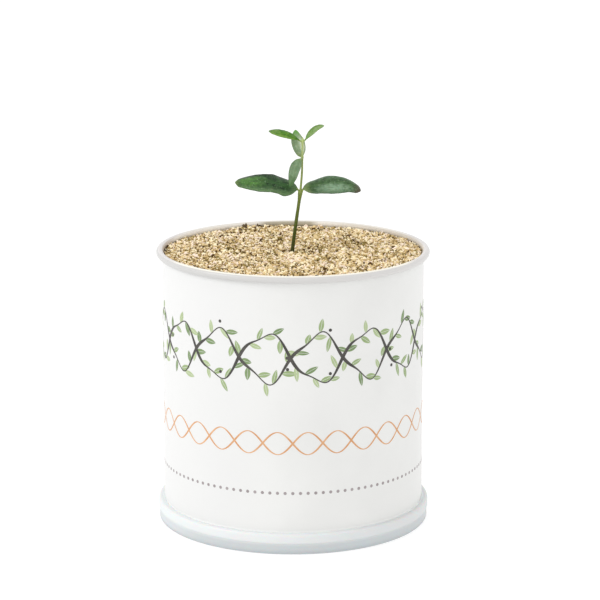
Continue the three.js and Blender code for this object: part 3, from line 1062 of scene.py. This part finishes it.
# %% The leaves' measures, in millimetres
LEAVES = {
    "leaf_lower_left": dict(
        midrib=[
            (2.2, 0, 125.8), (2.1, -0.1, 126.8), (-0.2, -0.4, 128.1), (-8, -0.9, 129.8),
            (-15.5, -0.9, 130.4), (-21.8, -0.5, 129.8),
        ],
        root=[(2.6, 0, 124.3), (2.2, 0, 125.1)], face=[(0, -0.68, 0.73), (0, -0.64, 0.77)],
        left=[2.2, 3.5, 4.3, 3.9, 4.1, 4.6, 4.7, 4, 3.2, 2.3, 1.7],
        right=[1.9, 3.1, 4.4, 4.9, 5.3, 4.6, 4.2, 4.1, 3.7, 2.9, 1.8],
        cup=34, wave=(0.8, 1.35, 3.27), stalk=0.06, girth=1.6,
    ),
    "leaf_lower_right": dict(
        midrib=[
            (3.5, 0, 125.8), (3.45, -0.1, 126.8), (5.7, -0.4, 128.1), (13, -0.8, 129.5),
            (20, -0.6, 129.2), (23.7, -0.4, 127.9), (25.5, -0.3, 126.5),
        ],
        root=[(2.6, 0, 124.3), (3.1, 0, 125.1)], face=[(0, -0.66, 0.75), (0.2, -0.56, 0.8)],
        left=[1.7, 2.8, 3.5, 4.3, 4.9, 4.8, 4.4, 4, 3.3, 2.4, 1.6],
        right=[1.4, 2.6, 3.4, 3.8, 4.3, 4.7, 4.6, 4.1, 3.2, 2.5, 1.9],
        cup=30, wave=(0.4, 1.1, 3.68), stalk=0.06, girth=1.6,
    ),
    "leaf_middle_front": dict(
        midrib=[
            (3.35, -1, 139.2), (2.4, -2.2, 138.9), (1.2, -3.6, 137.3), (0, -5.2, 134),
            (-0.65, -6.2, 131.1), (-1.05, -6.6, 129.4),
        ],
        root=[(3.5, 0, 138.9), (3.48, -0.4, 139.1)], face=[(-0.1, -0.45, 0.9), (-0.35, -0.95, 0.2)],
        left=[0.9, 1.5, 2, 2.2, 2.2, 2.1, 2, 1.8, 1.4, 1, 0.6],
        right=[1, 1.6, 2.1, 2.3, 2.3, 2.2, 2, 1.7, 1.4, 0.9, 0.5],
        cup=30, wave=(0.1, 1, 0), stalk=0.08,
    ),
    "leaf_middle_back": dict(
        midrib=[
            (3.45, 1, 138.9), (2.9, 1.8, 141.4), (2, 2.7, 144.3), (1.3, 3.3, 146.8), (0.95, 3.6, 149.2),
        ],
        root=[(3.5, 0, 138.9), (3.47, 0.5, 139.1)], face=[(0, -0.7, 0.7), (0, -0.95, 0.3)],
        left=[1.1, 1.8, 2.3, 2.6, 2.7, 2.7, 2.6, 2.3, 1.8, 1.2, 0.7],
        right=[0.6, 1.1, 1.8, 2.2, 2.4, 2.5, 2.4, 2.1, 1.7, 1.1, 0.6],
        cup=-24, wave=(0.1, 1, 0), stalk=0.03,
    ),
    "leaf_top_left": dict(
        midrib=[
            (2.8, -0.1, 145.6), (1.6, -0.5, 146.4), (-2, -1.1, 148.1), (-5.8, -1.3, 149.2),
            (-9.1, -1.1, 149.5),
        ],
        root=[(3.62, 0, 145.1), (3.3, 0, 145.3)], face=[(0.2, -0.6, 0.78), (0, -0.55, 0.84)],
        left=[0.5, 0.9, 1.3, 1.6, 1.8, 1.9, 1.9, 1.8, 1.5, 1.1, 0.6],
        right=[0.6, 1, 1.5, 1.9, 2, 2.1, 2, 1.9, 1.5, 1, 0.6],
        cup=20, wave=(0.08, 1, 0), stalk=0.08,
    ),
    "leaf_top_right": dict(
        midrib=[
            (4.4, 0, 145.8), (5, -0.1, 146.6), (7, -0.3, 148.6), (9.2, -0.3, 150.5), (11.7, -0.2, 151.5),
        ],
        root=[(3.62, 0, 145.1), (3.95, 0, 145.35)], face=[(-0.68, -0.36, 0.6), (-0.45, -0.46, 0.8)],
        left=[0.7, 1.2, 1.7, 2, 2.1, 2.1, 2, 1.7, 1.4, 0.9, 0.5],
        right=[0.7, 1.1, 1.5, 1.8, 1.9, 1.9, 1.8, 1.6, 1.3, 0.9, 0.5],
        cup=-18, wave=(0.08, 1, 0), stalk=0.08,
    ),
}
WIDTH_SHARES = [0.04, 0.1, 0.2, 0.3, 0.4, 0.5, 0.6, 0.7, 0.8, 0.9, 0.96]
STALK_HALF_WIDTH = 0.31
TIP_HALF_WIDTH = 0.15
BLADE_ACROSS = 16
BLADE_ALONG = 56
BLADE_THICKNESS = 0.36
MARGIN_SHARE = 0.55
GROOVE_DEPTH = 0.1
GROOVE_SHARE = 0.16
VEINS = 8
VEIN_SLANT = 1.4
VEIN_DEPTH = 0.035
VEIN_GAIN = 4

# %% The rule that lays a blade's rows across its midrib
def half_width(widths, t):
    """Half width of a blade: a smooth line from 0, through its widths, to 0."""
    shares = [0, *WIDTH_SHARES, 1]
    halves = [0, *widths, 0]
    i = max(1, int(np.searchsorted(shares, t)))

    def slope(k):
        before = max(0, k - 1)
        after = min(len(shares) - 1, k + 1)
        return (halves[after] - halves[before]) / (shares[after] - shares[before])

    span = shares[i] - shares[i - 1]
    u = (t - shares[i - 1]) / span
    start = halves[i - 1] * (1 + 2 * u) + slope(i - 1) * span * u
    end = halves[i] * (3 - 2 * u) - slope(i) * span * (1 - u)
    return start * (1 - u) ** 2 + end * u**2


def leaf_directions(leaf, line, share):
    """A point of the midrib, and the blade's sideways and upward directions there."""
    point, ahead = at_length(line, share)
    base, tip = (np.array(f, float) for f in leaf["face"])
    side = np.cross(ahead, base + (tip - base) * share)
    side /= np.linalg.norm(side)
    return point, side, np.cross(side, ahead)


def blade_point(leaf, line, across, along):
    """A point of the blade, from -1 to 1 across it and 0 to 1 along it."""
    point, side, up = leaf_directions(leaf, line, along)
    t = min(1.0, max(0.0, (along - leaf["stalk"]) / (1 - leaf["stalk"])))
    narrowest = STALK_HALF_WIDTH + (TIP_HALF_WIDTH - STALK_HALF_WIDTH) * along
    half = max(narrowest, half_width(leaf["right"] if across > 0 else leaf["left"], t))
    bend = math.radians(leaf["cup"])
    height, wave_turns, phase = leaf["wave"]
    fade = math.sin(math.pi * t)
    lift = math.sin(math.tau * wave_turns * t + phase) * fade
    out = half * math.sin(bend * across) / bend
    drop = half * (1 - math.cos(bend * across)) / bend
    groove = GROOVE_DEPTH * max(0.0, 1 - abs(across) / GROOVE_SHARE) * fade
    vein = VEIN_DEPTH * math.sin(math.tau * (VEINS * along - VEIN_SLANT * abs(across))) * fade
    rise = height * lift * across**2 - drop - groove + vein * min(1, VEIN_GAIN * abs(across))
    return point + side * out + up * rise


def blade(name, leaf):
    """A grid laid along the midrib, with the weights for its thickness."""
    line = curve_points(leaf["midrib"])
    bpy.ops.mesh.primitive_grid_add(x_subdivisions=BLADE_ACROSS, y_subdivisions=BLADE_ALONG, size=2)
    piece = started(name)
    thick = piece.vertex_groups.new(name="thick")
    for point in piece.data.vertices:
        across, along = point.co.x, (point.co.y + 1) / 2
        thick.add([point.index], 1 - (1 - MARGIN_SHARE) * abs(across), "REPLACE")
        point.co = Vector(blade_point(leaf, line, across, along)) * MM
    return piece


# %% The stalk and the midrib below the blade
RIB_RADII = (0.42, 0.3, 0.3, 0.26, 0.2, 0.13, 0.06)
RIB_SHARES = (0.03, 0.12, 0.3, 0.55, 0.92)
RIB_SINK = 0.24
RIB_SUNK_BY = 0.2
GIRTH_ENDS = 2.5
RIB_SIDES = 3


def rib(name, leaf):
    """A tapered curve along the stalk and below the blade, made into a mesh."""
    line = curve_points(leaf["midrib"])
    route = [np.array(p, float) for p in leaf["root"]]
    for share in RIB_SHARES:
        point, _, up = leaf_directions(leaf, line, share)
        route.append(point - up * RIB_SINK * min(1, share / RIB_SUNK_BY))
    bpy.ops.curve.primitive_nurbs_path_add()
    curve = bpy.context.object.data
    curve.splines.clear()
    spline = curve.splines.new("BEZIER")
    spline.bezier_points.add(len(route) - 1)
    for k, (knot, place, radius) in enumerate(zip(spline.bezier_points, route, RIB_RADII)):
        knot.co = Vector(place) * MM
        knot.radius = radius * (1 + (leaf.get("girth", 1) - 1) * max(0, 1 - k / GIRTH_ENDS))
        knot.handle_left_type = knot.handle_right_type = "AUTO"
    curve.bevel_depth = MM
    curve.bevel_resolution = RIB_SIDES
    curve.use_fill_caps = True
    bpy.ops.object.convert(target="MESH")
    piece = started(name)
    with editing(piece):
        clean()
    return piece


# %% [markdown]
# The skins read the blade's UV map, whose U runs across and whose V runs along the leaf, so that the midrib,
# the side veins, the margins and the browned tip stay in place when the leaf bends. One function makes the
# upper skin of every leaf from its own colours, with one soft streak of lighter green that is a painted
# highlight where the leaf catches the light. The margins' tones are partly painted light and shade, and the
# outermost edge is painted dark as shade. Here a layer's numbers are shares of the leaf or of the noise, and
# the last one is how much of its colour shows.

# %% Upper skin, underside and stalk
PALE_SCALE = (172, 192, 160)
MOTTLE = 520
MOTTLE_LINES = 24
DARK_LINES = 30
FRAY = 700
FRAY_WIDTH = 1.2
UPPER_SCALES = 1500
UPPER_RELIEF = 2600
VEIN_RELIEF = 0.25
UPPER_DEPTH = 0.03
UNDER_SCALES = 1800
UNDER_RELIEF = 3200
UNDER_DEPTH = 0.02
STALK_MOTTLE = 900


def upper_skin(name, dark, light, margins, tip, base, painted_sheen, tip_from=0.9, gloss=0.36, glow=0.06):
    """Mottles, a frayed painted highlight, veins, midrib, margins, base, tip, dark lines, edge shade and
    scales.
    """
    material, shader, place = new_material(
        name, Roughness=gloss, Specular_IOR_Level=0.22, Subsurface_Weight=glow, Subsurface_Scale=0.5 * MM
    )
    uv = place.node.outputs["UV"]
    u, along, _ = split(uv)
    across = minus(times(u, 2), 1)
    off = unsigned(across)
    # The painted highlight: its colour, its place along, its length, its place across, its width and its
    # amount.
    tone, at_along, long, at_across, wide, amount = painted_sheen
    near_along = over(minus(along, at_along), long)
    near_across = over(minus(across, at_across), wide)
    squares = plus(times(near_along, near_along), times(near_across, near_across))
    frayed = plus(squares, times(noise(place, FRAY, detail=4), FRAY_WIDTH))
    vein_wave = sums("SINE", times(minus(times(along, VEINS), times(off, VEIN_SLANT)), math.tau))
    shade = layered(
        dark,
        (light, noise(place, MOTTLE, detail=8), 0.38, 0.64, 0.75),
        (light, noise(uv, MOTTLE_LINES, detail=4, stretch=(1, 0.22, 1)), 0.44, 0.6, 0.5),
        # Painted highlight: a soft frayed patch of lighter green where the leaf catches the light.
        (tone, frayed, 1.5, 0.4, amount),
        (light, vein_wave, 0.8, 1, 0.16),
        (light, off, 0.09, 0.01, 0.75),
        # The margins' tones are partly painted light and shade: mostly one side lit and one shaded.
        (margins[0], across, -0.3, -1, 0.85),
        (margins[1], across, 0.5, 1, 0.85),
        (base, along, 0.24, 0.05),
        (tip, along, tip_from, 0.99),
        (dark, noise(uv, DARK_LINES, stretch=(1, 0.3, 1)), 0.48, 0.38, 0.4),
        # Painted shade along the outermost edge.
        (dark, off, 0.9, 1, 0.6),
        (PALE_SCALE, noise(place, UPPER_SCALES), 0.58, 0.7, 0.2),
    )
    dressed(shader, shade, plus(noise(place, UPPER_RELIEF), times(vein_wave, VEIN_RELIEF)), UPPER_DEPTH)
    return material


def under_skin(name, pale, shade):
    material, shader, place = new_material(
        name, Roughness=0.62, Specular_IOR_Level=0.25, Subsurface_Weight=0.06, Subsurface_Scale=0.5 * MM
    )
    scaly = layered(shade, (pale, noise(place, UNDER_SCALES, detail=2), 0.38, 0.62))
    dressed(shader, scaly, noise(place, UNDER_RELIEF), UNDER_DEPTH)
    return material


def rib_skin(name, main, shade):
    material, shader, place = new_material(name, Roughness=0.5, Specular_IOR_Level=0.25)
    dressed(shader, mixed(noise(place, STALK_MOTTLE), main, shade))
    return material


# %% The colours of each leaf
OLD_UNDER = ((150, 168, 138), (128, 148, 116))
GREY_UNDER = ((178, 192, 166), (158, 174, 146))
YOUNG_UNDER = ((166, 190, 134), (146, 174, 112))
SKINS = {
    "leaf_lower_left": dict(
        dark=(16, 40, 18), light=(58, 94, 50), margins=((104, 136, 90), (12, 34, 12)),
        tip=(96, 120, 66), base=(84, 114, 70),
        painted_sheen=((88, 134, 60), 0.78, 0.32, 0, 0.9, 0.85),
    ),
    "leaf_lower_right": dict(
        dark=(34, 66, 30), light=(80, 112, 68), margins=((82, 112, 78), (88, 114, 84)),
        tip=(84, 78, 62), base=(124, 142, 88),
        painted_sheen=((140, 168, 138), 0.56, 0.4, 0.5, 0.72, 0.85), tip_from=0.82, gloss=0.34,
    ),
    "leaf_middle_front": dict(
        dark=(80, 108, 70), light=(122, 146, 112), margins=((124, 146, 114), (82, 108, 72)),
        tip=(70, 104, 54), base=(124, 148, 100),
        painted_sheen=((116, 142, 106), 0.45, 0.4, -0.2, 0.6, 0.5), tip_from=0.6, gloss=0.45,
    ),
    "leaf_middle_back": dict(
        dark=(124, 148, 112), light=(164, 182, 150), margins=((112, 134, 98), (158, 174, 136)),
        tip=(102, 160, 68), base=(136, 158, 100),
        painted_sheen=((234, 240, 220), 0.4, 0.45, 0.5, 0.6, 0.9), tip_from=0.7, gloss=0.5,
    ),
    "leaf_top_left": dict(
        dark=(48, 100, 4), light=(92, 138, 34), margins=((128, 160, 76), (58, 94, 20)),
        tip=(120, 136, 96), base=(58, 108, 24),
        painted_sheen=((122, 150, 84), 0.82, 0.24, 0, 0.9, 0.6), gloss=0.4, glow=0.12,
    ),
    "leaf_top_right": dict(
        dark=(88, 124, 52), light=(124, 156, 86), margins=((84, 116, 52), (138, 164, 100)),
        tip=(158, 168, 136), base=(108, 144, 64),
        painted_sheen=((146, 168, 118), 0.75, 0.3, 0, 0.8, 0.6), gloss=0.42, glow=0.12,
    ),
}
PAIRS = {
    "lower": ("leaf_old", OLD_UNDER, ((150, 162, 70), (120, 138, 50))),
    "middle": ("leaf_grey", GREY_UNDER, ((156, 172, 110), (138, 156, 92))),
    "top": ("leaf_young", YOUNG_UNDER, ((164, 184, 110), (146, 170, 92))),
}

# %% Build the six leaves
def whole_leaf(node):
    """The blade with both its skins, and its stalk and midrib, joined as one piece."""
    leaf = LEAVES[node]
    slot, under, stalk = PAIRS[node.split("_")[1]]
    piece = blade(node.replace("leaf", "olive_leaf"), leaf)
    piece.data.materials.append(upper_skin(node + "_upper", **SKINS[node]))
    piece.data.materials.append(under_skin(node + "_under", *under))
    thickness = {
        "thickness": BLADE_THICKNESS * MM, "offset": 0, "vertex_group": "thick",
        "thickness_vertex_group": MARGIN_SHARE, "material_offset": 1, "material_offset_rim": 0,
    }
    finished(piece, ("SOLIDIFY", thickness), ("SUBSURF", {"levels": 1, "render_levels": 1}))
    stalk_piece = rib(node + "_rib", leaf)
    stalk_piece.data.materials.append(rib_skin(node + "_stalk", *stalk))
    return handed_over(joined(piece, stalk_piece), node, slot=slot)


for node in LEAVES:
    whole_leaf(node)

# %% [markdown]
# ## The floor, the light and the camera
# The pot is shown as in a catalogue: on plain white, in soft even light that comes mostly from the upper
# left. A wide floor and a bright sky give the even light, one large lamp models the round can and puts a
# sheen on the leaves, and a weaker one fills the right side.

# %% The floor
FLOOR_SIZE = 6
FLOOR_CUTS = 3
PAPER = (169.62, 169.62, 169.62)
PAPER_SHADE = (165.74, 165.74, 165.74)
PAPER_CLOUDS = 3

bpy.ops.mesh.primitive_plane_add(size=FLOOR_SIZE)
floor = started("floor")
with editing(floor, "FACE"):
    bpy.ops.mesh.subdivide(number_cuts=FLOOR_CUTS)


def floor_paper():
    """White paper that glows, so that the pot's shadow stays faint."""
    material, shader, place = new_material("white_paper", Roughness=0.9, Emission_Strength=0.66)
    dressed(shader, mixed(noise(place, PAPER_CLOUDS), PAPER, PAPER_SHADE))
    return material


floor.data.materials.append(floor_paper())
print("floor:", len(floor.data.polygons), "faces")

# %% The sky and the lamps
SKY_STRENGTH = 1.03
world = bpy.data.worlds.new("sky")
bpy.context.scene.world = world
world.use_nodes = True
background = world.node_tree.nodes["Background"]
background.inputs["Color"].default_value = (1, 1, 1, 1)
background.inputs["Strength"].default_value = SKY_STRENGTH
bpy.context.scene.view_settings.view_transform = "Standard"

AIM = Vector((0, 0, 0.1))


def lamp(name, place, size, power):
    """A square lamp that looks at the middle of the pot."""
    bpy.ops.object.light_add(type="AREA", location=place)
    made = bpy.context.object
    made.name = name
    made.data.size = size
    made.data.energy = power
    made.rotation_euler = (AIM - Vector(place)).to_track_quat("-Z", "Y").to_euler()
    print(name, "lamp:", power, "W")


lamp("key", (-0.9, -0.35, 0.7), 0.45, 3.6)
lamp("fill", (0.9, -0.5, 0.6), 0.9, 0.3)

# %% The camera, fitted to the rim and the foot in the picture
CAMERA_PLACE = (2.64 * MM, -990.4 * MM, 318.1 * MM)
CAMERA_DOWN = 13.28
CAMERA_LENS = 160.73
CAMERA_SENSOR = 36

bpy.ops.object.camera_add(location=CAMERA_PLACE, rotation=(math.radians(90 - CAMERA_DOWN), 0, 0))
camera = bpy.context.object
camera.name = "camera"
camera.data.lens = CAMERA_LENS
camera.data.sensor_width = CAMERA_SENSOR
bpy.context.scene.camera = camera
print("camera lens:", CAMERA_LENS, "mm")
